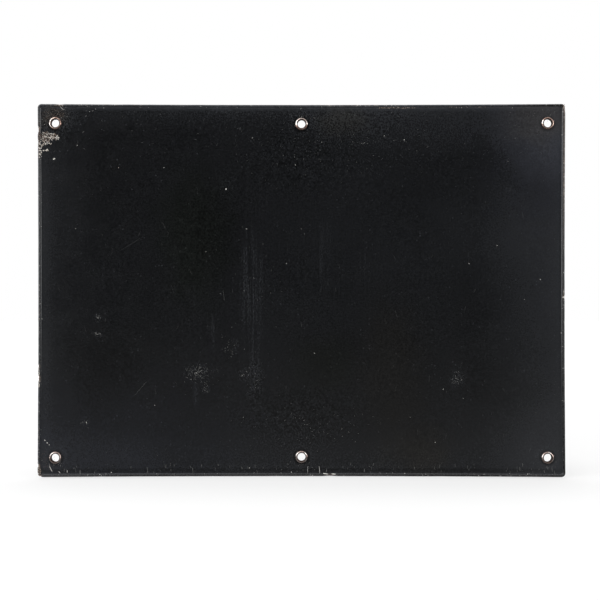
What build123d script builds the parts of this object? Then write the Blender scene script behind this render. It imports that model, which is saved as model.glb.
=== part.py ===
from build123d import *
import os
from math import sqrt

# An enamelled street sign plate, modelled as it hangs. X runs across it, +Z is up,
# its face looks along +Y, and its back, the side in the photograph, along -Y.
# The origin is the centre of the four corner eyelets, level with the back of the
# sheet where they sit. All lengths are in millimetres.

# Sheet: steel pressed to a shallow dish, hollow at the back, with enamel on both faces.
sign_width = 420.0
sign_height = 297.0
sheet_thickness = 1.6
dish_radius = 5000.0

# Rim: the edge is turned back a little all round, and melted enamel rounds its crest.
lip_height = 2.2
lip_bend_inside = 0.9
corner_inside = 1.6
crest_flat = 0.1
fillet_share = 0.45

# Holes: three columns and two rows, measured from the edges of the sheet.
side_margin = 13.5
end_margin = 15.0

# Eyelets: thin copper tube, each end curled outwards onto the sheet.
eyelet_bore = 6.4
eyelet_wall = 0.6
curl_radius = 0.95
eyelet_clearance = 0.2
curl_leg_spare = 0.05

# Dish: the back is a sphere about a centre far behind the sign. The sheet's face and
# the crest of its lip are spheres about the same centre.
column_x = sign_width / 2 - side_margin
row_z = sign_height / 2 - end_margin
dish_centre_y = -sqrt(dish_radius**2 - column_x**2 - row_z**2)
face_radius = dish_radius + sheet_thickness
crest_radius = dish_radius - lip_height
# Cutting shapes reach this far, which is past every edge of the sign.
reach = sign_width + sign_height


def sphere_y(radius, x, z):
    """Y of a sphere about the dish centre, over the point (x, z) of the sign."""
    return dish_centre_y + sqrt(radius**2 - x**2 - z**2)


def dish_layer(inner_radius, outer_radius):
    """Round cap between two spheres about the dish centre, wider than the sign."""
    inner_mid, inner_rim = (0, sphere_y(inner_radius, 0, 0)), (reach, sphere_y(inner_radius, reach, 0))
    outer_mid, outer_rim = (0, sphere_y(outer_radius, 0, 0)), (reach, sphere_y(outer_radius, reach, 0))
    section = RadiusArc(inner_mid, inner_rim, inner_radius)
    section += Line(inner_rim, outer_rim)
    section += RadiusArc(outer_rim, outer_mid, -outer_radius)
    section += Line(outer_mid, inner_mid)
    return revolve(make_face(section), Axis.Y)


def blank_prism(inset, rounding):
    """Upright block with the sign's outline, moved in from its edge."""
    outline = RectangleRounded(sign_width - 2 * inset, sign_height - 2 * inset, rounding)
    return extrude(Plane.XZ * outline, reach, both=True)


def largest_spheres(shape):
    """Spherical faces, from the largest to the smallest."""
    return shape.faces().filter_by(GeomType.SPHERE).sort_by(SortBy.AREA, reverse=True)


def make_plate():
    """The pressed sheet with its turned-back rim, rounded bends and six round holes."""
    blank = blank_prism(0, corner_inside + sheet_thickness) & dish_layer(crest_radius, face_radius)
    hollow = blank_prism(sheet_thickness, corner_inside) & dish_layer(crest_radius - lip_height, dish_radius)
    plate = blank - hollow

    # Sharp, its spheres are from the largest the front, the back and the crest of the lip.
    bend_inside = min(lip_bend_inside, fillet_share * lip_height, corner_inside - crest_flat)
    crest_round = min(sheet_thickness / 2 - crest_flat, fillet_share * lip_height)
    plate = fillet(largest_spheres(plate)[1].edges(), bend_inside)
    plate = fillet(largest_spheres(plate)[0].edges(), bend_inside + sheet_thickness)
    plate = fillet(largest_spheres(plate)[2].edges(), crest_round)

    hole = Plane.XZ * Cylinder(eyelet_bore / 2 + eyelet_wall + eyelet_clearance, reach)
    for x, z in eyelet_places.values():
        plate -= Pos(x, 0, z) * hole
    return plate


def make_eyelet(x, z, plate):
    """One eyelet, turned from its section, with both curls bedded on the dished sheet."""
    bore = eyelet_bore / 2
    tip_out = bore + 2 * curl_radius
    tip_in = tip_out - eyelet_wall
    wall_out = bore + eyelet_wall
    curl_in = curl_radius - eyelet_wall
    curl_middle = bore + curl_radius
    # The sheet slopes under the eyelet. Straight legs, longer than its rise, end both curls,
    # and the sheet trims them to its own slope.
    leg = tip_out * sqrt(column_x**2 + row_z**2) / dish_radius + curl_leg_spare
    back = sphere_y(dish_radius, x, z)
    face = sphere_y(face_radius, x, z)
    low = back - leg
    high = face + leg

    section = Line((bore, high), (bore, low))
    section += ThreePointArc((bore, low), (curl_middle, low - curl_radius), (tip_out, low))
    section += Polyline((tip_out, low), (tip_out, back + leg), (tip_in, back + leg), (tip_in, low))
    section += ThreePointArc((tip_in, low), (curl_middle, low - curl_in), (wall_out, low))
    section += Line((wall_out, low), (wall_out, high))
    section += ThreePointArc((wall_out, high), (curl_middle, high + curl_in), (tip_in, high))
    section += Polyline((tip_in, high), (tip_in, face - leg), (tip_out, face - leg), (tip_out, high))
    section += ThreePointArc((tip_out, high), (curl_middle, high + curl_radius), (bore, high))
    return Pos(x, 0, z) * revolve(make_face(section), Axis.Y) - plate


eyelet_places = {
    f"eyelet_{row}_{column}": (x, z)
    for row, z in (("top", row_z), ("bottom", -row_z))
    for column, x in (("left", -column_x), ("middle", 0.0), ("right", column_x))
}

os.makedirs("parts", exist_ok=True)
sign_plate = make_plate()
export_step(sign_plate, "parts/sign_plate.step")
for name, (x, z) in eyelet_places.items():
    export_step(make_eyelet(x, z, sign_plate), f"parts/{name}.step")
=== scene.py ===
import bpy
import numpy as np
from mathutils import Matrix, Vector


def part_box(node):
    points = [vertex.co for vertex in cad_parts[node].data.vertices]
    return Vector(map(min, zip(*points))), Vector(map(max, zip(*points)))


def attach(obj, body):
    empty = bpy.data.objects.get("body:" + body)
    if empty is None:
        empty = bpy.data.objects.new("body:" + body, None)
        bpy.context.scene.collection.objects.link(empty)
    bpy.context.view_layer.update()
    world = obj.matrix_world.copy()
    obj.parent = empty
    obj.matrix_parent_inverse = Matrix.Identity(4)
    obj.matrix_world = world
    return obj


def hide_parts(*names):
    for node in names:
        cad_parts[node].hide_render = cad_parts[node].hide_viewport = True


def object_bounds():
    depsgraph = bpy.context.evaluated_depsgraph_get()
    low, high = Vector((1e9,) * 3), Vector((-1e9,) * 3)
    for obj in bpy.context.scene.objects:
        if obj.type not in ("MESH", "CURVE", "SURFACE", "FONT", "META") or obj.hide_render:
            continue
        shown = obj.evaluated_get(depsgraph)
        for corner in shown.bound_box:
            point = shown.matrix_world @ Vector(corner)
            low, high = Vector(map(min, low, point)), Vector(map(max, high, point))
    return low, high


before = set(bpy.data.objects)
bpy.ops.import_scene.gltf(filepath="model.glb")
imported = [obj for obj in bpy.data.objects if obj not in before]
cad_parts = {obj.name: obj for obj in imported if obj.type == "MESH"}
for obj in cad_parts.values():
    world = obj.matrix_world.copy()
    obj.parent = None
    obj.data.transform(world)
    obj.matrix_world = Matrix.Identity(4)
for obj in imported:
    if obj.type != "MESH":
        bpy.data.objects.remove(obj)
cad_low, cad_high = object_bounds()

# The sheet. One steel plate pressed to a shallow dish, hollow at the back, with its edge
# turned back a little and enamel melted over both faces and round the rim. The six holes
# are punched before firing. Sizes are in metres, and Y is 0 at the corner eyelets.
half_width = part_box("sign_plate")[1].x
half_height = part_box("sign_plate")[1].z
sheet_thickness = 0.0016
dish_radius = 5.0
lip_height = 0.0022
lip_bend = 0.0009
corner_outside = 0.0032
crest_round = 0.0007
side_margin = 0.0135
end_margin = 0.0150
hole_radius = 0.0040
columns = (-(half_width - side_margin), 0.0, half_width - side_margin)
rows = (-(half_height - end_margin), half_height - end_margin)
dish_centre = -np.sqrt(dish_radius**2 - columns[2] ** 2 - rows[1] ** 2)

# Its mesh: the step of the grid, the fewest cells in a strip, how far from a hole's middle the
# grid is drawn towards a circle, and what counts as no difference.
grid_step = 0.0021
strip_cells = 6
hole_zone = 0.0075
tiny = 1e-9

# The skin is even up to the first distance from the rim or from a hole's middle, and ripples
# fully from the second. The face is sunk a little, so that no ripple stands out of it. A ripple
# is the sum of wave_count waves, over wave_spread, and each starts anywhere in a full turn.
even_by_rim = (0.004, 0.02)
even_by_hole = (0.007, 0.02)
face_sink = 0.0001
wave_count, wave_spread = 26, 5
full_turn = 6.28

# Where the enamel has broken away from the rim: across, up, reach along it and depth. The core
# of a break, as a share of its reach, has its full depth. Its outer side loses a share of that.
break_core = 0.35
break_side = 0.7
rim_breaks = (
    (-0.2100, 0.1282, 0.0032, 0.0010),
    (-0.2100, 0.1168, 0.0045, 0.0004),
    (-0.2100, -0.0600, 0.0010, 0.0004),
    (-0.2100, -0.0684, 0.0012, 0.0006),
    (-0.2100, -0.0712, 0.0012, 0.0006),
    (-0.2100, -0.0784, 0.0010, 0.0005),
    (-0.2100, -0.1392, 0.0016, 0.0006),
    (-0.2086, -0.1472, 0.0030, 0.0007),
    (-0.1920, 0.1485, 0.0030, 0.0004),
    (0.2100, -0.0053, 0.0012, 0.0004),
    (0.2100, 0.1450, 0.0040, 0.0004),
    (0.0230, -0.1485, 0.0060, 0.0003),
)


def dish_y(x, z, lift=0.0):
    """Y of the back of the dish over (x, z): a sphere about the dish centre, less lift to the back."""
    return dish_centre + np.sqrt((dish_radius - lift) ** 2 - x**2 - z**2)


def smooth_step(value, low, high):
    """0 below low and 1 above high, with no corner at either."""
    share = np.clip((value - low) / (high - low), 0, 1)
    return share * share * (3 - 2 * share)


def ripple(x, z, seed, shortest, longest, height):
    """Uneven enamel: a sum of plane waves, each with its own direction, length and start."""
    low, high = (0, shortest, 0), (np.pi, longest, full_turn)
    turns, lengths, starts = np.random.default_rng(seed).uniform(low, high, (wave_count, 3)).T
    total = np.zeros_like(x)
    for turn, length, start in zip(turns, lengths, starts):
        total += np.sin((x * np.cos(turn) + z * np.sin(turn)) * full_turn / length + start)
    return height * total / wave_spread


def make_piece(name, points, faces, slot, **attributes):
    """A smooth mesh from an array of points and lists of corners, riding on the sign."""
    mesh = bpy.data.meshes.new(name)
    mesh.from_pydata(points.tolist(), [], faces)
    for label, values in attributes.items():
        mesh.attributes.new(label, "FLOAT", "POINT").data.foreach_set("value", values.astype(np.float32))
    mesh.polygons.foreach_set("use_smooth", [True] * len(mesh.polygons))
    mesh.update()
    piece = bpy.data.objects.new(name, mesh)
    bpy.context.scene.collection.objects.link(piece)
    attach(piece, "root")
    return piece


def square_to_circle(across, up):
    """Points of a square from -1 to 1 moved onto the disc of radius 1, ring by ring."""
    size = np.maximum(np.maximum(abs(across), abs(up)), tiny)
    wide = abs(across) >= abs(up)
    angle = np.where(wide, up / size, across / size) * np.pi / 4
    side = np.where(wide, np.sign(across), np.sign(up))
    return (np.where(wide, np.cos(angle) * side, np.sin(angle)) * size,
            np.where(wide, np.sin(angle), np.cos(angle) * side) * size)


def grid_lines(half, corner, centres):
    """Lines across the sheet, close together round each hole and in each corner. The strips beside
    a hole, which the curls cover, have half as many."""
    knots = [-half, corner - half]
    for centre in centres:
        knots += [centre - hole_zone, centre - hole_radius, centre + hole_radius, centre + hole_zone]
    knots += [half - corner, half]
    lines = []
    for a, b in zip(knots, knots[1:]):
        beside_hole = abs(b - a - (hole_zone - hole_radius)) < tiny
        least = strip_cells // 2 if beside_hole else strip_cells
        lines.append(np.linspace(a, b, max(least, int((b - a) / grid_step)), endpoint=False))
    return np.append(np.concatenate(lines), half)


def rim_section():
    """The turned-back edge as (distance in from the outer side, height behind the back): inner
    bend, wall, round crest, outer side and the large bend into the face."""
    bend_out = lip_bend + sheet_thickness
    # Centre in and up, radius, first and last angle in degrees, and points.
    centres_and_arcs = (
        (bend_out, lip_bend, lip_bend, -90, -180, 6),
        (sheet_thickness - crest_round, lip_height - crest_round, crest_round, 0, 90, 6),
        (crest_round, lip_height - crest_round, crest_round, 90, 180, 6),
        (bend_out, lip_bend, bend_out, 180, 270, 8),
    )
    inward, height = [], []
    for centre_in, centre_up, radius, first, last, count in centres_and_arcs:
        angle = np.radians(np.linspace(first, last, count))
        inward += list(centre_in + radius * np.cos(angle))
        height += list(centre_up + radius * np.sin(angle))
    return np.array(inward), np.array(height)


def hole_walls(number, open_cell):
    """The short wall in each hole, from back to face. A cell edge with an open cell on one side
    only belongs to it."""
    closed = np.pad(~open_cell, 1, constant_values=False)
    opened = np.pad(open_cell, 1, constant_values=False)
    low = np.nonzero(closed[1:-1, :-1] & opened[1:-1, 1:])
    high = np.nonzero(opened[1:-1, :-1] & closed[1:-1, 1:])
    left = np.nonzero(closed[:-1, 1:-1] & opened[1:, 1:-1])
    right = np.nonzero(opened[:-1, 1:-1] & closed[1:, 1:-1])
    edges = (
        (number[low[0], low[1]], number[low[0] + 1, low[1]]),
        (number[high[0] + 1, high[1]], number[high[0], high[1]]),
        (number[left[0], left[1] + 1], number[left[0], left[1]]),
        (number[right[0], right[1]], number[right[0], right[1] + 1]),
    )
    return [np.stack([start, end, end + number.size, start + number.size], -1) for start, end in edges]


def enamelled_sheet():
    """The whole plate as one closed skin: two dished grids, drawn round the holes and corners,
    the rim's section carried along the outline, and a short wall in each hole."""
    bend = lip_bend + sheet_thickness
    corner = corner_outside - bend
    x_lines = grid_lines(half_width - bend, corner, columns)
    z_lines = grid_lines(half_height - bend, corner, rows)
    x, z = np.meshgrid(x_lines, z_lines, indexing="ij")
    plan_x, plan_z = x.copy(), z.copy()
    open_cell = np.zeros((len(x_lines) - 1, len(z_lines) - 1), bool)
    clear = smooth_step(np.minimum(half_width - abs(x), half_height - abs(z)), *even_by_rim)
    for row in rows:
        for column in columns:
            dx, dz = x - column, z - row
            size = np.maximum(abs(dx), abs(dz))
            near = (size < hole_zone) & (size > tiny)
            flat_x, flat_z = dx[near] / size[near], dz[near] / size[near]
            blend = np.clip((size[near] - hole_radius) / (hole_zone - hole_radius), 0, 1)
            round_x, round_z = square_to_circle(flat_x, flat_z)
            plan_x[near] = column + blend * flat_x * hole_zone + (1 - blend) * round_x * hole_radius
            plan_z[near] = row + blend * flat_z * hole_zone + (1 - blend) * round_z * hole_radius
            middle_x = (x[1:, 1:] + x[:-1, :-1]) / 2 - column
            middle_z = (z[1:, 1:] + z[:-1, :-1]) / 2 - row
            open_cell |= np.maximum(abs(middle_x), abs(middle_z)) < hole_radius
            clear *= smooth_step(np.hypot(dx, dz), *even_by_hole)
    for side_x in (-1, 1):
        for side_z in (-1, 1):
            arc_x, arc_z = side_x * (half_width - bend - corner), side_z * (half_height - bend - corner)
            near = ((x - arc_x) * side_x > -tiny) & ((z - arc_z) * side_z > -tiny)
            round_x, round_z = square_to_circle((x[near] - arc_x) / corner, (z[near] - arc_z) / corner)
            plan_x[near], plan_z[near] = arc_x + round_x * corner, arc_z + round_z * corner

    back_wave = ripple(plan_x, plan_z, seed=3, shortest=0.03, longest=0.14, height=0.000022) * clear
    face_wave = ripple(plan_x, plan_z, seed=4, shortest=0.03, longest=0.12, height=0.00005)
    face_wave = (face_wave - face_sink) * clear
    back = np.stack([plan_x, dish_y(plan_x, plan_z) + back_wave, plan_z], -1).reshape(-1, 3)
    face = np.stack([plan_x, dish_y(plan_x, plan_z, -sheet_thickness) + face_wave, plan_z], -1)
    count = x.size
    number = np.arange(count).reshape(x.shape)

    # The outline runs anticlockwise as seen from the back. Each of its points carries the section.
    outline = np.concatenate([number[:-1, 0], number[-1, :-1], number[:0:-1, -1], number[0, :0:-1]])
    edge_x, edge_z = plan_x.ravel()[outline], plan_z.ravel()[outline]
    arc_x = np.clip(edge_x, corner + bend - half_width, half_width - bend - corner)
    arc_z = np.clip(edge_z, corner + bend - half_height, half_height - bend - corner)
    out_x, out_z = (edge_x - arc_x) / corner, (edge_z - arc_z) / corner
    rough = abs(ripple(edge_x, edge_z, seed=5, shortest=0.009, longest=0.05, height=0.00005))
    for break_x, break_z, reach, depth in rim_breaks:
        away = np.hypot(arc_x + out_x * corner_outside - break_x, arc_z + out_z * corner_outside - break_z)
        rough += depth * (1 - smooth_step(away, break_core * reach, reach))
    inward, height = rim_section()
    rings = slice(1, len(inward) - 1)
    inward, height = inward[rings, None], height[rings, None]
    lost = rough * np.clip(1 - inward / sheet_thickness, 0, 1) * break_side
    reach = corner_outside - inward - lost
    ring_x, ring_z = arc_x + out_x * reach, arc_z + out_z * reach
    ring_y = dish_y(ring_x, ring_z, height - rough * np.clip(height / lip_height, 0, 1))
    ring_points = np.stack([ring_x, ring_y, ring_z], -1).reshape(-1, 3)

    points = np.concatenate([back, face.reshape(-1, 3), ring_points])
    around = len(outline)
    loops = [outline] + [2 * count + ring * around + np.arange(around) for ring in range(len(inward))]
    loops.append(outline + count)
    quad = np.stack([number[:-1, :-1], number[1:, :-1], number[1:, 1:], number[:-1, 1:]], -1)[~open_cell]
    faces = [quad, quad[:, ::-1] + count]
    for inner, outer in zip(loops, loops[1:]):
        faces.append(np.stack([outer, np.roll(outer, -1), np.roll(inner, -1), inner], -1))
    faces = np.concatenate(faces + hole_walls(number, open_cell))

    # Crest is 1 on top of the rim, from 0.6 mm in, and broken is 1 where a break is 0.5 mm deep.
    crest, broken = np.zeros(len(points)), np.zeros(len(points))
    topmost = height[:, 0] / lip_height * smooth_step(inward[:, 0], 0.0001, 0.0006)
    crest[2 * count:] = np.repeat(topmost, around)
    standing = np.clip(height[:, 0] / lip_height, 0, 1)
    broken[2 * count:] = np.outer(standing, smooth_step(rough, 0.0002, 0.0005)).ravel()
    kept, faces = np.unique(faces, return_inverse=True)
    return points[kept], faces.reshape(-1, 4).tolist(), crest[kept], broken[kept]


sheet_points, sheet_faces, sheet_crest, sheet_broken = enamelled_sheet()
sign_enamel = make_piece(
    "sign_enamel", sheet_points, sheet_faces, "enamel", crest=sheet_crest, broken=sheet_broken
)
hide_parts("sign_plate")


def put(tree, source, target):
    """One input linked to a socket, or set to a value."""
    if isinstance(source, bpy.types.NodeSocket):
        tree.links.new(source, target)
    elif source is not None:
        colour = target.type == "RGBA" and len(source) == 3
        target.default_value = (*source, 1) if colour else source


def add(tree, kind, *sources, **settings):
    """A shader node with its settings, and its inputs linked or set in order."""
    made = tree.nodes.new("ShaderNode" + kind)
    for label, value in settings.items():
        setattr(made, label, value)
    for place, source in enumerate(sources):
        put(tree, source, made.inputs[place])
    return made


def sums(tree, operation, *sources):
    """The result of one Math node."""
    return add(tree, "Math", *sources, operation=operation).outputs[0]


def times(tree, first, second):
    """The product of two numbers."""
    return sums(tree, "MULTIPLY", first, second)


def plus_part(tree, total, mask, change):
    """The total, plus the change where the mask is 1."""
    return sums(tree, "MULTIPLY_ADD", mask, change, total)


def vectors(tree, operation, *sources):
    """The result of one Vector Math node, which is a number for a length, distance or dot product."""
    outputs = add(tree, "VectorMath", *sources, operation=operation).outputs
    return outputs["Value" if operation in ("LENGTH", "DISTANCE", "DOT_PRODUCT") else "Vector"]


def ramp(tree, value, low, high, at_low=0.0, at_high=1.0):
    """A smooth step from at_low to at_high as value goes from low to high."""
    made = add(tree, "MapRange", value, low, high, at_low, at_high, interpolation_type="SMOOTHSTEP")
    return made.outputs[0]


def attribute(tree, name):
    """A number that the mesh gives at each of its points."""
    return add(tree, "Attribute", attribute_name=name).outputs["Fac"]


def blend_colours(tree, share, first, second):
    """Two colours mixed by share."""
    made = add(tree, "Mix", share, data_type="RGBA")
    put(tree, first, made.inputs[6])
    put(tree, second, made.inputs[7])
    return made.outputs[2]


def noise(tree, place, scale, detail=2.0, roughness=0.5):
    """Noise from 0 to 1, with its scale in cells per millimetre."""
    return add(tree, "TexNoise", place, None, scale, detail, roughness).outputs[0]


def millimetres(tree, *scale):
    """Object coordinates in millimetres, stretched by scale."""
    place = add(tree, "TexCoord").outputs["Object"]
    stretch = [1000 * size for size in scale or (1, 1, 1)]
    return vectors(tree, "MULTIPLY", place, stretch)


def new_material(name):
    """A material, with its node tree and its surface node."""
    material = bpy.data.materials.new(name)
    material.use_nodes = True
    return material, material.node_tree, material.node_tree.nodes["Principled BSDF"]


def emboss(tree, surface, height, strength, distance):
    """Relief: height, in units of distance, tilts the normal of the surface."""
    bump = add(tree, "Bump", strength, distance)
    put(tree, height, bump.inputs["Height"])
    put(tree, bump.outputs[0], surface.inputs["Normal"])


def new_group(name, inputs, outputs):
    """An empty shader node group, and the sockets of its two end nodes."""
    group = bpy.data.node_groups.new(name, "ShaderNodeTree")
    for label, kind, value in inputs:
        socket = group.interface.new_socket(label, in_out="INPUT", socket_type="NodeSocket" + kind)
        socket.default_value = value
    for label in outputs:
        group.interface.new_socket(label, in_out="OUTPUT", socket_type="NodeSocketFloat")
    return group, group.nodes.new("NodeGroupInput").outputs, group.nodes.new("NodeGroupOutput").inputs


def use_group(tree, group, **values):
    """One use of a group, with its inputs linked or set by name."""
    made = tree.nodes.new("ShaderNodeGroup")
    made.node_tree = group
    for label, value in values.items():
        put(tree, value, made.inputs[label])
    return made.outputs


# Soft spot: an oval mask, for stains, streaks, scuffs and tints. Its border is noise from -0.5
# to 0.5.
soft_spot, spot_in, spot_out = new_group(
    "soft_spot",
    (("place", "Vector", (0, 0, 0)), ("middle", "Vector", (0, 0, 0)), ("reach", "Vector", (1, 1, 1)),
     ("border", "Float", 0.0), ("ragged", "Float", 0.5)),
    ("mask",),
)
spot_shift = vectors(soft_spot, "SUBTRACT", spot_in["place"], spot_in["middle"])
spot_length = vectors(soft_spot, "LENGTH", vectors(soft_spot, "DIVIDE", spot_shift, spot_in["reach"]))
spot_edge = plus_part(soft_spot, spot_length, spot_in["border"], spot_in["ragged"])
soft_spot.links.new(ramp(soft_spot, spot_edge, 0.2, 1.0, 1.0, 0.0), spot_out["mask"])

# Grain: the pebbled skin of fired enamel, with pin-prick flecks of dust caught in it.
enamel_grain, grain_in, grain_out = new_group(
    "enamel_grain",
    (("place", "Vector", (0, 0, 0)), ("cells", "Float", 0.8), ("flecks", "Float", 0.3)),
    ("height", "tone", "fleck"),
)
grain_coarse = noise(enamel_grain, grain_in["place"], grain_in["cells"], detail=3.0, roughness=0.6)
enamel_grain.links.new(grain_coarse, grain_out["height"])
enamel_grain.links.new(ramp(enamel_grain, grain_coarse, 0.30, 0.74, 0.72, 1.4), grain_out["tone"])
grain_dots = add(enamel_grain, "TexVoronoi", grain_in["place"], None, 0.42, feature="F1")
grain_size = add(enamel_grain, "SeparateColor", grain_dots.outputs["Color"]).outputs[0]
grain_reach = times(enamel_grain, ramp(enamel_grain, grain_size, 0.5, 1.0), grain_in["flecks"])
grain_reach = sums(enamel_grain, "ADD", grain_reach, 0.001)
grain_share = sums(enamel_grain, "DIVIDE", grain_dots.outputs["Distance"], grain_reach)
enamel_grain.links.new(ramp(enamel_grain, grain_share, 0.4, 1.0, 1.0, 0.0), grain_out["fleck"])


def spot_mask(tree, place, border, ragged, spot_x, spot_z, reach_x, reach_z):
    """A soft spot from its middle and half its width and height, in millimetres. It is deep enough
    to take in the whole dish."""
    return use_group(
        tree, soft_spot, place=place, middle=(spot_x, 0, spot_z), reach=(reach_x, 400, reach_z),
        border=border, ragged=ragged,
    )["mask"]


def back_enamel():
    """Ground enamel: blue-black, hazed towards its edges, partly as painted reflection, stained,
    scuffed and streaked where the back shows it, and worn grey and brown along the rim. Painted
    highlight lightens the rim's crest and a line inside the top; painted shade darkens the right
    and bottom rims, a strip inside the bottom one and a ring round each eyelet."""
    material, tree, surface = new_material("ground_enamel")
    place = millimetres(tree)
    across, up = (add(tree, "SeparateXYZ", place).outputs[axis] for axis in "XZ")
    width, height = half_width * 1000, half_height * 1000
    border = sums(tree, "SUBTRACT", noise(tree, place, 0.07, detail=5.0, roughness=0.65), 0.5)

    # Haze of dust and handling, and in part a painted reflection brightening the edges and the bottom:
    # across or up, the edge there, how far in it reaches and its tone.
    tone = 0.0070
    for axis, side, reach, strength in (
        (across, width, 78.0, 0.0112),
        (across, -width, 50.0, 0.0046),
        (up, -height, 44.0, 0.0056),
        (up, height, 26.0, 0.0046),
        (up, height, 6.0, 0.0330),
        (across, -width, 15.0, 0.0070),
        (across, -width, 5.0, 0.0050),
        (across, width, 16.0, 0.0030),
    ):
        inside = sums(tree, "ABSOLUTE", sums(tree, "SUBTRACT", axis, side))
        tone = sums(tree, "ADD", ramp(tree, inside, 0.0, reach, strength, 0.0), tone)
    cloud = noise(tree, place, 0.014, detail=5.0, roughness=0.55)
    tone = times(tree, tone, ramp(tree, cloud, 0.28, 0.75, 0.88, 1.14))

    # Stains: across, up, half width, half height, raggedness and change of tone.
    for *spot, ragged, change in (
        (196, 134, 62, 60, 0.35, 0.0125),
        (196, -130, 70, 55, 0.35, 0.0035),
        (-185, -134, 90, 34, 0.6, 0.0046),
        (206, 112, 44, 44, 0.4, 0.0050),
        (50, 40, 130, 90, 0.5, 0.0020),
        (72, -60, 34, 80, 0.6, 0.0002),
        (0, -70, 260, 60, 0.4, -0.0012),
        (28, 134, 42, 24, 1.3, 0.0042),
        (150, 60, 70, 60, 0.6, 0.0022),
        (-74, 48, 42, 78, 0.7, -0.0016),
        (25, -62, 50, 32, 0.8, -0.0010),
        (-4, -104, 60, 30, 0.6, -0.0012),
        (-190, 0, 40, 60, 0.5, -0.0010),
        (-168, -66, 52, 48, 0.5, -0.0024),
        (186, 30, 66, 80, 0.6, 0.0026),
        (165, -70, 60, 38, 0.6, -0.0020),
        (104, 136, 116, 36, 0.6, 0.0052),
    ):
        tone = plus_part(tree, tone, spot_mask(tree, place, border, ragged, *spot), change)

    # Streaks of dust that ran down the sheet in columns, and scuffs: across, up, half width, half
    # height, the noise that they are made of and change of tone.
    runs = noise(tree, millimetres(tree, 0.38, 0.38, 0.014), 1.0, detail=3.0, roughness=0.6)
    dusted = noise(tree, millimetres(tree, 1.1, 1.1, 0.40), 1.0, detail=4.0, roughness=0.7)
    fibres = times(tree, ramp(tree, runs, 0.40, 0.64), ramp(tree, dusted, 0.42, 0.66, 0.10, 1.2))
    scuffed = noise(tree, millimetres(tree, 1.3, 1.3, 0.8), 1.1, detail=4.0, roughness=0.7)
    scuffed = ramp(tree, scuffed, 0.50, 0.68)
    for *spot, pattern, change in (
        (-42, 14, 10, 50, fibres, 0.0190),
        (-31, 6, 5, 34, fibres, 0.0100),
        (-40, -20, 12, 50, fibres, 0.0120),
        (-38, -60, 10, 28, fibres, 0.0080),
        (-37, -72, 9, 26, scuffed, 0.0120),
        (-53, -44, 5, 9, scuffed, 0.0240),
        (-36, 84, 14, 34, fibres, 0.0040),
        (18, 24, 9, 44, fibres, 0.0080),
        (49, 22, 6, 26, fibres, 0.0080),
        (-71, -30, 4, 22, fibres, 0.0100),
        (-85, -84, 4, 14, fibres, 0.0150),
        (-160, 12, 26, 22, fibres, 0.0040),
        (0, 15, 190, 120, fibres, 0.0016),
        (-82, -66, 18, 11, scuffed, 0.0240),
        (-163, -22, 6, 6, scuffed, 0.0280),
        (-163, -35, 6, 5, scuffed, 0.0320),
        (124, -70, 11, 12, scuffed, 0.0360),
        (-47, -68, 8, 8, scuffed, 0.0300),
        (-173, -105, 6, 6, scuffed, 0.0200),
        (-77, -79, 5, 5, scuffed, 0.0300),
        (-60, 84, 12, 22, scuffed, 0.0140),
        (-95, -55, 40, 22, scuffed, 0.0045),
        (60, 118, 190, 46, scuffed, 0.0110),
        (0, 144, 215, 9, scuffed, 0.0300),
        (-207, 0, 8, 160, scuffed, 0.0200),
        (208, 0, 7, 160, scuffed, 0.0160),
        (0, -145, 215, 8, scuffed, 0.0220),
        (-196, 139, 26, 15, scuffed, 0.0440),
        (-40, -10, 30, 80, scuffed, 0.0080),
    ):
        mask = spot_mask(tree, place, border, 0.9, *spot)
        tone = plus_part(tree, tone, times(tree, mask, pattern), change)

    # Grain, stronger where dust has settled: across, up, half width, half height and how much.
    grain = use_group(tree, enamel_grain, place=place, cells=0.75, flecks=0.34)
    speckle = 0.0104
    for *spot, change in (
        (0, 146, 260, 44, 0.0080),
        (34, 136, 52, 28, 0.0150),
        (-196, 136, 26, 24, 0.0240),
        (196, 130, 60, 40, 0.0120),
        (-186, -136, 60, 40, 0.0060),
        (0, -146, 260, 40, 0.0040),
        (-4, -106, 66, 34, 0.0150),
        (-37, -74, 10, 30, 0.0200),
        (0, 104, 60, 36, 0.0080),
        (-10, 0, 76, 50, 0.0040),
    ):
        speckle = plus_part(tree, speckle, spot_mask(tree, place, border, 0.8, *spot), change)
    tone = plus_part(tree, tone, sums(tree, "SUBTRACT", grain["tone"], 1.0), speckle)

    # Round each eyelet the enamel is darkened just outside the curl, as painted shade where the curl
    # meets the sheet, and dusty outside that.
    folded = vectors(tree, "MULTIPLY", vectors(tree, "ABSOLUTE", place), (1, 0, 1))
    to_corner, to_middle = (
        vectors(tree, "DISTANCE", folded, (column * 1000, 0, rows[1] * 1000))
        for column in (columns[2], columns[1])
    )
    near_eyelet = plus_part(tree, sums(tree, "MINIMUM", to_corner, to_middle), border, 3.0)
    tone = sums(tree, "ADD", ramp(tree, near_eyelet, 6.0, 7.2, -0.0060, 0.0), tone)
    dust_ring = times(tree, ramp(tree, near_eyelet, 6.4, 7.6), ramp(tree, near_eyelet, 8.0, 12.0, 1.0, 0.0))
    tone = plus_part(tree, tone, times(tree, dust_ring, scuffed), 0.0200)

    # A darker strip of painted shade runs just inside the bottom rim, at the foot of its bend, and a
    # patchy painted highlight just inside the top one.
    inside = sums(tree, "ADD", up, height)
    painted_foot_shade = times(tree, ramp(tree, inside, 2.8, 3.8), ramp(tree, inside, 5.2, 7.0, 1.0, 0.0))
    tone = plus_part(tree, tone, painted_foot_shade, -0.0060)
    inside = sums(tree, "SUBTRACT", height, up)
    line = times(tree, ramp(tree, inside, 1.0, 1.6), ramp(tree, inside, 2.4, 3.4, 1.0, 0.0))
    highlight_patches = ramp(tree, noise(tree, place, 0.12, detail=3.0, roughness=0.7), 0.38, 0.62, 0.1, 1.0)
    tone = plus_part(tree, tone, times(tree, line, highlight_patches), 0.0180)
    tone = sums(tree, "MAXIMUM", tone, 0.0008)
    dusty = ramp(tree, border, -0.08, 0.16)
    tone = plus_part(tree, tone, times(tree, grain["fleck"], dusty), 0.022)

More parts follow.
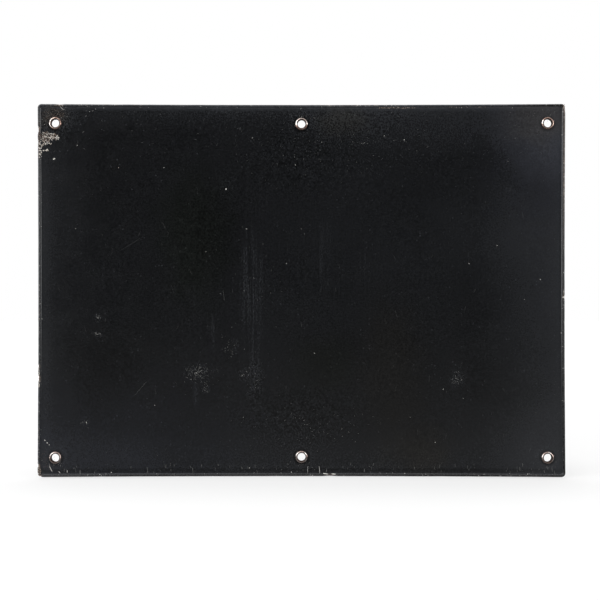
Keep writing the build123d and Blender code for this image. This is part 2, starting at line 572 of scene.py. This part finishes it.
    # Tint: blue-black, greener in the darkest cloud and browner in the long stain. Across, up,
    # half width, half height and colour there.
    tint = (0.92, 0.98, 1.10)
    for *spot, change in (
        (-86, 42, 42, 76, (0.92, 1.07, 0.98)),
        (20, -60, 40, 30, (0.94, 1.05, 1.00)),
        (72, -70, 40, 90, (1.02, 1.00, 0.98)),
        (32, 135, 30, 18, (0.98, 1.00, 1.00)),
        (-198, 138, 16, 13, (1.07, 1.00, 0.93)),
        (96, -128, 36, 28, (1.04, 1.00, 0.95)),
        (-140, -112, 140, 70, (0.87, 0.95, 1.20)),
        (196, 120, 76, 90, (0.90, 0.96, 1.16)),
        (190, 138, 44, 30, (0.99, 0.985, 1.04)),
    ):
        tint = blend_colours(tree, spot_mask(tree, place, border, 0.8, *spot), tint, change)

    # Rim: the enamel is thin on the crest and worn grey, lighter there also as a painted highlight,
    # and painted shade darkens the rim along the right and bottom, where that lift is left out.
    crest = attribute(tree, "crest")
    patchy = noise(tree, place, 0.6, detail=4.0, roughness=0.7)
    raised = ramp(tree, crest, 0.1, 0.8)
    worn_and_highlight = times(tree, raised, ramp(tree, patchy, 0.38, 0.64, 0.1, 1.0))
    to_right, to_bottom = ramp(tree, across, 150.0, 206.0), ramp(tree, up, -145.5, -143.0, 0.8, 0.0)
    painted_shade = sums(tree, "MAXIMUM", to_right, to_bottom)
    tone = times(tree, tone, sums(tree, "MULTIPLY_ADD", times(tree, raised, painted_shade), -0.9, 1.0))
    tone = plus_part(tree, tone, worn_and_highlight, ramp(tree, painted_shade, 0.0, 1.0, 0.013, 0.0))
    colour = add(tree, "VectorMath", tint, operation="SCALE")
    put(tree, tone, colour.inputs["Scale"])

    # Where the enamel has gone, and in a thin line down the right crest, the steel is rusty.
    bare = times(tree, ramp(tree, crest, 0.88, 0.98), ramp(tree, across, 206.0, 208.0))
    bare = times(tree, bare, ramp(tree, up, 20.0, 100.0, 0.0, 0.6))
    bare = sums(tree, "MAXIMUM", attribute(tree, "broken"), bare)
    rust = times(tree, bare, ramp(tree, patchy, 0.30, 0.48))
    rusty = blend_colours(tree, ramp(tree, patchy, 0.45, 0.65), (0.060, 0.036, 0.028), (0.34, 0.27, 0.22))
    put(tree, blend_colours(tree, rust, colour.outputs[0], rusty), surface.inputs["Base Color"])

    rough = plus_part(tree, ramp(tree, border, -0.2, 0.2, 0.14, 0.18), worn_and_highlight, 0.30)
    put(tree, plus_part(tree, rough, rust, 0.4), surface.inputs["Roughness"])
    relief = plus_part(tree, grain["height"], rust, 8.0)
    emboss(tree, surface, relief, strength=1.0, distance=0.000008)
    return material


sign_enamel.data.materials.append(back_enamel())


# Marks on the back: spots and dashes of old paint and enamel that lie on the black, scratches
# that have gone white, and the scabs of rust and paint by the left corners and on the rim. In
# millimetres, a spot is across, up, half length, half width, height, turn and tone.
ball_turns, ball_rings = 10, 5
drop_height, dust_height, chip_height = 0.05, 0.03, 0.04
dash_height, hair_height = 0.02, 0.012

# Height of the rim behind the back of the sheet, in from its outer side to the foot of its bend.
rim_places = (0, 0.15, 0.4, 0.8, 1.2, 1.45, 1.6, 1.75, 2, 2.5)
rim_heights = (1.5, 1.93, 2.13, 2.2, 2.13, 1.93, 1.5, 0.55, 0.2, 0)


def pebbles(name, spots, seed, dents):
    """Flattened pebbles bedded on the back, all as one mesh. Each is a ball of points with one
    more above and below, stretched to its half length and width, dented by three waves with
    random starts, turned and set on the dish or the rim."""
    spots = np.array(spots, float)
    x, z, long, wide, tall, turn = spots[:, :6, None, None].transpose(1, 0, 2, 3)
    around = np.linspace(0, 2 * np.pi, ball_turns, endpoint=False)[None, :, None]
    down = np.linspace(0, np.pi, ball_rings + 2)[None, None, 1:-1]
    starts = np.random.default_rng(seed).uniform(0, full_turn, (3, len(spots), 1, 1))
    uneven = 0.5 * np.sin(2 * around + starts[0]) + 0.35 * np.sin(3 * around + 2 * down + starts[1])
    uneven += 0.3 * np.sin(5 * around + 3 * down + starts[2])
    size = 1 - dents * (0.55 + 0.55 * uneven)
    along, side = long * size * np.sin(down) * np.cos(around), wide * size * np.sin(down) * np.sin(around)
    lift = tall * np.cos(down) * (1 - dents * 0.5 * (1 + uneven))
    turn = np.radians(turn)

    def with_ends(sides, above, below):
        """One coordinate of every point in metres, pebble by pebble."""
        return np.concatenate([sides.reshape(len(spots), -1), above[:, 0], below[:, 0]], 1) / 1000

    px = with_ends(x + along * np.cos(turn) - side * np.sin(turn), x, x)
    pz = with_ends(z + along * np.sin(turn) + side * np.cos(turn), z, z)
    px, pz = np.clip(px, -half_width, half_width), np.clip(pz, -half_height, half_height)
    edge = np.minimum(half_width - abs(px), half_height - abs(pz))
    rim = np.interp(edge * 1000, rim_places, rim_heights) / 1000
    py = np.maximum(dish_y(px, pz, rim) - with_ends(lift, tall, -tall), cad_low[1])

    each = ball_turns * ball_rings + 2
    start = np.arange(ball_turns) * ball_rings
    after = np.roll(start, -1)
    step = np.arange(ball_rings - 1)[None, :]
    here, there = start[:, None] + step, after[:, None] + step
    quads = np.stack([here, here + 1, there + 1, there], -1).reshape(-1, 4)
    top = np.stack([np.full(ball_turns, each - 2), start, after], -1)
    low = np.stack([np.full(ball_turns, each - 1), after + ball_rings - 1, start + ball_rings - 1], -1)
    first = (np.arange(len(spots)) * each)[:, None, None]
    faces = (quads + first).reshape(-1, 4).tolist() + (top + first).reshape(-1, 3).tolist()
    faces += (low + first).reshape(-1, 3).tolist()
    points = np.stack([px, py, pz], -1).reshape(-1, 3)
    return make_piece(name, points, faces, "enamel", tone=np.repeat(spots[:, 6], each))


def scattered(seed, count, low, high):
    """Rows of random numbers, each column between its own limits."""
    return np.random.default_rng(seed).uniform(low, high, (count, len(low)))


# Scuffs on the black, each a cluster of pin-pricks: across, up, half width, half height, count.
scuff_places = (
    (-84, -66, 11, 6, 130), (-163, -22, 3, 3, 24), (-163, -35, 3, 2, 28), (124, -70, 6, 6, 50),
    (-47, -68, 6, 6, 14), (-77, -79, 4, 4, 18), (-196, 138, 12, 9, 40), (0, 140, 14, 8, 30),
    (196, 138, 12, 8, 24), (-196, -138, 12, 9, 30), (0, -140, 12, 7, 18), (50, 118, 150, 26, 120),
    (-37, -78, 8, 24, 60), (4, -108, 62, 22, 110), (-58, -46, 6, 10, 24), (-80, -74, 22, 16, 40),
    (0, 108, 60, 30, 60), (-40, 10, 40, 60, 50), (-173, -105, 4, 4, 14),
)


def field_spots():
    """The drops of white paint that stand out on the black, each across, up and half length, then
    a fine spatter of smaller ones."""
    drops = (
        (-60.6, 81.4, 0.75), (82.4, 120.8, 0.42), (-76.8, 31.2, 0.40), (-44.0, 49.6, 0.38),
        (0.0, 49.6, 0.36), (2.4, 45.6, 0.32), (-12.0, 21.6, 0.36), (-110.4, 98.4, 0.40),
        (-117.6, -92.0, 0.38), (10.4, -50.4, 0.34), (134.4, 21.6, 0.38), (156.8, 36.0, 0.38),
        (191.2, 8.8, 0.44), (178.4, -7.2, 0.36), (113.6, -79.2, 0.36), (129.6, -86.4, 0.32),
        (107.2, -121.6, 0.36), (87.2, -101.6, 0.34), (-180.8, 49.6, 0.42), (-172.0, -105.6, 0.36),
        (66.4, 124.0, 0.36), (-4.8, 100.8, 0.32), (-39.2, 122.4, 0.34), (-179.2, 116.0, 0.34),
        (-146.4, 98.4, 0.34), (-204.9, -119.6, 0.62), (-203.0, -121.6, 0.64), (-201.4, -123.2, 0.44),
        (-158.1, 146.0, 0.34), (-169.4, 142.9, 0.30), (-166.6, 143.5, 0.28), (-172.2, 139.5, 0.28),
        (-164.5, 145.0, 0.26), (208.7, -5.3, 0.60), (-152.0, -145.4, 0.55), (-41.6, -142.2, 0.45),
    )
    spots = [(x, z, size, size * 0.8, drop_height, 40 * x, 0.9) for x, z, size in drops]
    dust = scattered(21, 130, (-205, -143, 0.10, 0.08, 0, 0.15), (205, 143, 0.20, 0.16, 180, 0.5))
    for number, (x, z, reach_x, reach_z, count) in enumerate(scuff_places):
        low, high = (0, 0, 0.10, 0.08, 0, 0.15), (1, full_turn, 0.34, 0.20, 180, 0.80)
        near = scattered(50 + number, count, low, high)
        away, angle = near[:, 0].copy(), near[:, 1].copy()
        near[:, 0] = x + reach_x * away * np.cos(angle)
        near[:, 1] = z + reach_z * away * np.sin(angle)
        dust = np.concatenate([dust, near])
    return spots + [(*place, dust_height, turn, tone) for *place, turn, tone in dust]


def edge_chips():
    """Pin-pricks and chips in the enamel of the rim and the band inside it, closest at the edge."""
    spots = []
    low, high = (-1, 0, 0.16, 0.12, 0, 0.10), (1, 1, 0.60, 0.36, 180, 0.90)
    for number, (side, count) in enumerate((("left", 150), ("right", 100), ("top", 190), ("bottom", 130))):
        for way, inside, long, wide, turn, tone in scattered(25 + number, count, low, high):
            inside = 0.5 + 9.0 * inside**3
            size = 1.0 if inside < 2.4 else 0.5
            tone *= 0.45 + 0.55 * size**2
            x, z = (way * 208, 148.3 - inside) if side in ("top", "bottom") else (209.8 - inside, way * 146)
            x = -x if side == "left" else x
            z = -z if side == "bottom" else z
            spots.append((x, z, long * size, wide * size, chip_height, turn, tone))
    return spots


def scratches():
    """Scratches: those that stand out, from one end to the other with half width and tone, then
    random dashes by the bottom edge, hairlines and fine scuffs along the top."""
    lines = (
        (-201.6, -139.2, -198.6, -145.2, 0.34, 0.80), (-194.0, -144.0, -192.4, -146.0, 0.36, 0.75),
        (-187.0, -143.2, -187.0, -145.6, 0.34, 0.85), (-176.8, -143.2, -176.8, -147.2, 0.26, 0.55),
        (-8.0, -144.8, -8.0, -146.4, 0.28, 0.70), (5.0, -140.0, 5.0, -147.2, 0.28, 0.60),
        (14.0, -140.0, 14.8, -147.2, 0.30, 0.65), (17.0, -146.6, 21.6, -146.9, 0.42, 0.85),
        (23.2, -146.8, 28.0, -146.9, 0.36, 0.75), (-192.8, 147.0, -189.6, 143.6, 0.40, 0.70),
        (-148.8, 29.6, -123.2, 45.6, 0.08, 0.08), (-163.2, 10.4, -112.8, 16.0, 0.07, 0.07),
        (-135.2, -85.6, -123.2, -72.0, 0.12, 0.18), (-63.2, 1.6, -61.8, -9.6, 0.10, 0.16),
    )
    spots = []
    for x0, z0, x1, z1, wide, tone in lines:
        long, turn = np.hypot(x1 - x0, z1 - z0) / 2, np.degrees(np.arctan2(z1 - z0, x1 - x0))
        spots.append(((x0 + x1) / 2, (z0 + z1) / 2, long, wide, dash_height, turn, tone))
    dashes = scattered(26, 80, (-205, -146.8, 0.5, 0.10, 80, 0.12), (205, -139, 2.2, 0.18, 100, 0.5))
    hairs = scattered(22, 120, (-200, -140, 0.8, 0.05, 60, 0.06), (200, 140, 5.0, 0.09, 120, 0.16))
    scuffs = scattered(23, 90, (-200, 110, 0.4, 0.05, -30, 0.1), (200, 146, 1.8, 0.10, 80, 0.3))
    for marks, height in ((dashes, dash_height), (hairs, hair_height), (scuffs, hair_height)):
        spots += [(*place, height, turn, tone) for *place, turn, tone in marks]
    return spots


def scabs():
    """Rust and flaking paint: a crust at the top left eyelet, crumbs below it, and fragments
    along the edges and in the corners. Each patch is oval: across, up, half width, half height,
    count, size, tallest grain and the range of its tones."""
    patches = (
        (-204.2, 122.2, 4.9, 5.5, 210, 0.54, 0.32, 0.0, 0.70),
        (-197.2, 122.8, 3.6, 3.0, 90, 0.52, 0.32, 0.0, 0.70),
        (-204.4, 122.4, 5.0, 5.8, 50, 0.68, 0.62, 0.8, 1.0),
        (-198.6, 122.4, 3.2, 2.6, 13, 0.64, 0.60, 0.8, 1.0),
        (-194.8, 122.2, 1.5, 2.4, 14, 0.72, 0.62, 0.9, 1.0),
        (-198.6, 125.0, 3.2, 0.8, 10, 0.60, 0.60, 0.8, 1.0),
        (-202.8, 117.2, 4.4, 1.0, 16, 0.66, 0.60, 0.8, 1.0),
        (-206.8, 115.4, 1.6, 1.2, 12, 0.60, 0.40, 0.6, 1.0),
        (-203.0, 112.0, 1.3, 1.2, 10, 0.74, 0.40, 0.8, 1.0),
        (-205.4, 111.8, 2.6, 0.6, 18, 0.50, 0.36, 0.8, 1.0),
        (-197.4, 105.1, 1.6, 0.6, 8, 0.62, 0.40, 0.9, 1.0),
        (-208.9, 116.0, 0.9, 13.5, 80, 0.50, 0.30, 0.0, 0.9),
        (-208.1, 111.0, 1.2, 9.0, 30, 0.66, 0.50, 0.85, 1.0),
        (-209.2, 124.0, 0.6, 24.0, 60, 0.40, 0.20, 0.0, 0.5),
        (-208.8, -144.0, 1.1, 4.2, 56, 0.56, 0.40, 0.4, 1.0),
        (-209.2, -69.0, 0.7, 11.0, 36, 0.56, 0.34, 0.7, 1.0),
        (-209.1, -20.0, 0.6, 40.0, 34, 0.38, 0.20, 0.4, 1.0),
        (-209.1, -118.0, 0.6, 24.0, 44, 0.36, 0.20, 0.2, 1.0),
        (209.2, 145.0, 0.6, 3.0, 24, 0.44, 0.20, 0.4, 1.0),
        (209.2, 104.0, 0.5, 10.0, 24, 0.42, 0.20, 0.3, 0.9),
        (209.3, 78.0, 0.4, 16.0, 34, 0.40, 0.16, 0.6, 1.0),
        (209.2, -4.0, 0.5, 7.0, 18, 0.44, 0.20, 0.3, 1.0),
        (42.0, 147.7, 38.0, 0.5, 46, 0.42, 0.16, 0.4, 1.0),
        (-150.0, 147.8, 40.0, 0.4, 26, 0.36, 0.14, 0.3, 0.8),
        (-193.0, 147.2, 6.0, 0.7, 30, 0.40, 0.20, 0.3, 0.9),
        (-198.0, 140.0, 12.0, 6.0, 130, 0.34, 0.08, 0.15, 0.55),
        (-203.0, -134.0, 7.0, 11.0, 80, 0.24, 0.08, 0.1, 0.55),
        (74.0, 146.3, 18.0, 0.6, 70, 0.46, 0.12, 0.5, 0.85),
        (128.0, 146.6, 34.0, 0.4, 40, 0.34, 0.10, 0.4, 0.80),
    )
    spots = []
    for number, (x, z, reach_x, reach_z, count, size, tall, tone_low, tone_high) in enumerate(patches):
        low = (0, 0, 0.5 * size, 0.4 * size, 0.4 * tall, 0, 0)
        high = (1, full_turn, size, 0.8 * size, tall, 180, 1)
        rows_of_scabs = scattered(30 + number, count, low, high)
        away, angle = np.sqrt(rows_of_scabs[:, 0]), rows_of_scabs[:, 1].copy()
        ragged = 0.82 + 0.18 * np.sin(3 * angle + number) * np.cos(2 * angle)
        rows_of_scabs[:, 0] = x + reach_x * away * ragged * np.cos(angle)
        rows_of_scabs[:, 1] = z + reach_z * away * ragged * np.sin(angle)
        rows_of_scabs[:, 6] = tone_low + (tone_high - tone_low) * rows_of_scabs[:, 6] ** 1.3
        spots += rows_of_scabs.tolist()
    return spots


def mark_material(name, stops, dry):
    """Flakes coloured by their tone, from the dark end of stops to the pale end, mottled and dull."""
    material, tree, surface = new_material(name)
    speckle = noise(tree, millimetres(tree), 2.2, detail=4.0, roughness=0.7)
    tone = sums(tree, "ADD", attribute(tree, "tone"), ramp(tree, speckle, 0.3, 0.7, -0.14, 0.14))
    colour = stops[0][1]
    for (low, _), (high, next_colour) in zip(stops, stops[1:]):
        colour = blend_colours(tree, ramp(tree, tone, low, high), colour, next_colour)
    put(tree, colour, surface.inputs["Base Color"])
    put(tree, ramp(tree, speckle, 0.3, 0.7, dry - 0.12, dry + 0.08), surface.inputs["Roughness"])
    emboss(tree, surface, speckle, strength=0.8, distance=0.00004)
    return material


paint_stops = ((0.0, (0.012, 0.013, 0.014)), (0.5, (0.20, 0.20, 0.19)), (1.0, (0.74, 0.72, 0.68)))
scab_stops = (
    (0.0, (0.022, 0.015, 0.012)), (0.35, (0.090, 0.058, 0.042)), (0.6, (0.26, 0.195, 0.15)),
    (0.8, (0.62, 0.56, 0.49)), (1.0, (0.90, 0.88, 0.84)),
)
old_paint = mark_material("old_paint", paint_stops, 0.55)
for label, spots, seed, dents in (
    ("paint_spots", field_spots(), 41, 0.25),
    ("scratch_marks", scratches(), 42, 0.35),
    ("edge_chips", edge_chips(), 44, 0.45),
):
    pebbles(label, spots, seed, dents).data.materials.append(old_paint)
rust_scabs = pebbles("rust_scabs", scabs(), 43, 0.45)
rust_scabs.data.materials.append(mark_material("rust_scab", scab_stops, 0.85))

# The eyelets. Six short tubes of copper alloy, pushed through the holes and curled over at both
# ends on a die, so that they grip the sheet. The curl is worn bright, with painted highlights on
# it, and the bore is brown, darkened further with painted shade.
eyelet_bore = 0.0032
eyelet_wall = 0.0006
curl_radius = 0.00095

# The mesh: how many degrees a curl goes on past level, the points along it, how deep the tube's
# wall begins inside it and the steps of the turn.
curl_past_level = 35
curl_points = 15
throat = 0.0003
turn_steps = 72

# The die pressed each curl in by the first of these, more in places, and flattened it there.
press_least, press_more, flattened = 0.00008, 0.00026, 0.07

# Arcs of painted highlight, where each curl is painted pale as a lamp would shine in it: middle
# and half width in degrees, from the right upwards, and how pale.
painted_highlight_arcs = {
    "eyelet_top_left": ((175, 66, 1.0),),
    "eyelet_top_middle": ((165, 34, 1.0), (80, 90, 0.4), (10, 26, 0.7)),
    "eyelet_top_right": ((165, 26, 1.0),),
    "eyelet_bottom_left": ((135, 32, 1.0), (210, 40, 0.3), (320, 30, 0.5)),
    "eyelet_bottom_middle": ((150, 34, 1.0), (45, 22, 0.9), (325, 22, 0.8), (240, 40, 0.3)),
    "eyelet_bottom_right": ((70, 20, 0.9), (160, 20, 0.8), (335, 22, 0.7)),
}


def curled_eyelet(name, centre_x, centre_z, seed):
    """One eyelet: its section, a tube wall with a half-round curl at each end, is carried round
    the hole, and the curl is pressed a little unevenly."""
    low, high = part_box(name)
    curl_centre = eyelet_bore + curl_radius
    wall_out = eyelet_bore + eyelet_wall
    arc = np.radians(np.linspace(-curl_past_level, 180, curl_points))
    back_y, face_y = low.y + curl_radius, high.y - curl_radius
    out = curl_centre + curl_radius * np.cos(arc)
    radius = np.concatenate([out, out[::-1], [curl_centre, wall_out, wall_out, curl_centre]])
    depth = np.concatenate([
        back_y - curl_radius * np.sin(arc), face_y + curl_radius * np.sin(arc[::-1]),
        [face_y, face_y - throat, back_y + throat, back_y],
    ])
    spread = (radius - eyelet_bore) / curl_radius
    curled = np.clip(spread, 0, 1)[None, :]
    angle = np.linspace(0, 2 * np.pi, turn_steps, endpoint=False)[:, None]
    starts = np.random.default_rng(seed).uniform(0, full_turn, 4)
    waves = sum(np.sin(turns * angle + start) for turns, start in zip((2, 3, 5, 7), starts)) / 4
    press = (1 + waves) / 2
    reach = radius[None, :] - (press_least + press_more * press) * curled
    middle_y = (back_y + face_y) / 2
    y = middle_y + (depth[None, :] - middle_y) * (1 - flattened * press * curled)
    x, z = centre_x + reach * np.cos(angle), centre_z + reach * np.sin(angle)

    count = len(radius)
    turn, ring = np.meshgrid(np.arange(turn_steps), np.arange(count), indexing="ij")
    here, there = turn * count, (turn + 1) % turn_steps * count
    beside = (ring + 1) % count
    faces = np.stack([here + ring, there + ring, there + beside, here + beside], -1)
    points = np.stack([x, y, z], -1).reshape(-1, 3)
    worn = np.clip(np.concatenate([np.sin(arc), np.sin(arc[::-1]), [0, 0, 0, 0]]), 0, 1)
    # Painted highlight: the pale arcs on the outer side of each curl.
    pale = 0
    for middle, half, strength in painted_highlight_arcs[name]:
        off_middle = abs((np.degrees(angle) - middle + 180) % 360 - 180)
        pale = pale + strength * (1 - smooth_step(off_middle, 0.5 * half, half))
    pale = np.clip(pale, 0, 1) * smooth_step(spread, 0.95, 1.25)[None, :]
    piece = make_piece(
        name.replace("eyelet", "set_eyelet"), points, faces.reshape(-1, 4).tolist(), "eyelet_metal",
        curl=np.tile(spread, turn_steps), worn=np.tile(worn, turn_steps), pale=pale.ravel(),
    )
    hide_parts(name)
    return piece


def eyelet_copper():
    """Copper gone brown: pinkish and dull on the curl, worn brighter on its crest, partly as a painted
    highlight, with pale arcs of painted highlight, and dark down the bore and the inner half of the
    curl, partly a crust of grime and partly painted shade."""
    material, tree, surface = new_material("eyelet_copper")
    put(tree, 0.05, surface.inputs["Specular IOR Level"])
    place = millimetres(tree)
    mottle = noise(tree, place, 0.9, detail=4.0, roughness=0.65)
    copper = blend_colours(tree, ramp(tree, mottle, 0.32, 0.66), (0.18, 0.105, 0.085), (0.46, 0.30, 0.25))
    # The crest is lighter, partly from wear and partly as painted highlight.
    worn_and_highlight = times(tree, ramp(tree, attribute(tree, "worn"), 0.75, 1.0), ramp(tree, mottle, 0.42, 0.6))
    copper = blend_colours(tree, worn_and_highlight, copper, (0.72, 0.58, 0.50))
    # Painted highlight: the pale arcs are painted nearly white.
    painted_highlight = times(tree, attribute(tree, "pale"), ramp(tree, mottle, 0.3, 0.5))
    copper = blend_colours(tree, painted_highlight, copper, (0.95, 0.90, 0.86))
    # The bottom row has gone greyer than the top one.
    up = add(tree, "SeparateXYZ", place).outputs["Z"]
    copper = blend_colours(tree, ramp(tree, up, -60.0, 60.0, 0.45, 0.0), copper, (0.36, 0.34, 0.33))
    # Dark down the bore and the inner half of the curl: grime, and painted shade in the hollow.
    dirt_and_shade = ramp(tree, plus_part(tree, attribute(tree, "curl"), mottle, 0.5), 0.95, 1.35, 1.0, 0.0)
    put(tree, blend_colours(tree, dirt_and_shade, copper, (0.020, 0.009, 0.007)), surface.inputs["Base Color"])
    put(tree, ramp(tree, dirt_and_shade, 0.0, 1.0, 0.92, 0.0), surface.inputs["Metallic"])
    rough = plus_part(tree, ramp(tree, mottle, 0.3, 0.7, 0.34, 0.16), dirt_and_shade, 0.35)
    put(tree, rough, surface.inputs["Roughness"])
    emboss(tree, surface, mottle, strength=0.7, distance=0.00003)
    return material


copper_material = eyelet_copper()
for row_name, eyelet_z in zip(("bottom", "top"), rows):
    for number, (column_name, eyelet_x) in enumerate(zip(("left", "middle", "right"), columns)):
        eyelet = curled_eyelet(f"eyelet_{row_name}_{column_name}", eyelet_x, eyelet_z, 60 + number)
        eyelet.data.materials.append(copper_material)

# The studio. A white floor just under the sign, which keeps its shadow, and a white room that
# is dark only behind the camera, so that the gloss of the black back shows little of it.
floor_reach = 4.0
floor_gap = 0.0008
floor_z = -half_height - floor_gap
floor_sides = ((-1, -1), (1, -1), (1, 1), (-1, 1))
floor_corners = [(x * floor_reach, y * floor_reach, floor_z) for x, y in floor_sides]
floor_mesh = bpy.data.meshes.new("floor")
floor_mesh.from_pydata(floor_corners, [], [(0, 1, 2, 3)])
floor = bpy.data.objects.new("floor", floor_mesh)
bpy.context.scene.collection.objects.link(floor)


def seen_directly(tree):
    """Two numbers: 1 for what the camera sees, straight or through glass, and 1 for what gloss
    mirrors. Both are 0 for the light that falls on things."""
    rays = add(tree, "LightPath").outputs
    seen = sums(tree, "MAXIMUM", rays["Is Camera Ray"], rays["Is Transmission Ray"])
    return seen, rays["Is Glossy Ray"]


def white_floor():
    """Paper white: most of its brightness is its own to the camera, so only a soft shadow shows, and a
    painted shadow deepens it at the sign's foot.
    """
    material, tree, surface = new_material("white_floor")
    seen, glossy = seen_directly(tree)
    albedo = sums(tree, "MULTIPLY_ADD", glossy, -0.11, 0.28)
    put(tree, add(tree, "CombineColor", albedo, albedo, albedo).outputs[0], surface.inputs["Base Color"])
    put(tree, 0.9, surface.inputs["Roughness"])
    put(tree, 0.0, surface.inputs["Specular IOR Level"])
    put(tree, (1, 1, 1), surface.inputs["Emission Color"])
    place = add(tree, "TexCoord").outputs["Object"]
    behind = ramp(tree, add(tree, "SeparateXYZ", place).outputs["Y"], -0.05, 0.25)
    shown = sums(tree, "MAXIMUM", seen, times(tree, glossy, behind))
    glow = ramp(tree, vectors(tree, "LENGTH", place), 0.5, 1.4, 0.655, 0.95)
    # Painted shadow: the glow sinks at the foot of the sign, 0.19 m to either side, where its shadow is.
    beside = vectors(tree, "SUBTRACT", vectors(tree, "ABSOLUTE", place), (0.19, 0.0, 1.0))
    foot = vectors(tree, "LENGTH", vectors(tree, "MAXIMUM", beside, (0.0, 0.0, 0.0)))
    glow = sums(tree, "ADD", glow, ramp(tree, foot, 0.0, 0.12, -0.030, 0.035))
    put(tree, times(tree, shown, glow), surface.inputs["Emission Strength"])
    return material


floor.data.materials.append(white_floor())
studio = bpy.data.worlds.new("studio")
bpy.context.scene.world = studio
studio.use_nodes = True
room = studio.node_tree
room_seen, room_glossy = seen_directly(room)
room_way = add(room, "TexCoord").outputs["Generated"]
towards_camera = vectors(room, "DOT_PRODUCT", room_way, (0, -1, 0))
# The room darkens from 62 to 14 degrees off the way to the camera.
dark_from, dark_at = np.cos(np.radians((62, 14)))
room_light = ramp(room, towards_camera, dark_from, dark_at, 1.0, 0.03)
lit = times(room, room_light, sums(room, "MULTIPLY_ADD", room_glossy, 0.5, 0.5))
put(room, (1, 1, 1), room.nodes["Background"].inputs["Color"])
put(room, sums(room, "MAXIMUM", lit, room_seen), room.nodes["Background"].inputs["Strength"])


def soft_lamp(name, place, aim, size, power):
    """A square lamp of the given side, turned to look at aim."""
    lamp = bpy.data.lights.new(name, "AREA")
    lamp.size = size
    lamp.energy = power
    holder = bpy.data.objects.new(name, lamp)
    holder.location = place
    bpy.context.scene.collection.objects.link(holder)
    way = np.array(aim, float) - np.array(place, float)
    holder.rotation_euler = (np.arccos(-way[2] / np.linalg.norm(way)), 0, np.arctan2(-way[0], way[1]))


soft_lamp("key", (-1.5, -0.9, 0.6), (0, 0, 0), 2.8, 60)
soft_lamp("fill", (1.5, -1.1, 0.2), (0, 0, 0), 1.3, 19)
soft_lamp("overhead", (0, 0.3, 1.5), (0, 0, -0.1), 1.8, 16)

# The camera looks straight at the back from 0.8 m, as the photograph was taken: the outline
# is 525 pixels wide in a frame of 600, its middle 1.5 pixels right of centre and 9.5 above it.
# Its sides lie a millimetre behind the origin, where the width is sign_pixels.
photo_width = 600
sign_pixels = 526.2
right_of_centre, above_centre = 1.5, 9.5
camera_distance = 0.8
camera = bpy.data.objects.new("camera", bpy.data.cameras.new("camera"))
bpy.context.scene.collection.objects.link(camera)
camera.location = (0, -camera_distance, 0)
camera.rotation_euler = (np.pi / 2, 0, 0)
camera.data.sensor_width = 36
camera.data.lens = camera.data.sensor_width * camera_distance / (2 * half_width * photo_width / sign_pixels)
camera.data.shift_x = -right_of_centre / photo_width
camera.data.shift_y = -above_centre / photo_width
bpy.context.scene.camera = camera
bpy.context.scene.view_settings.view_transform = "Standard"
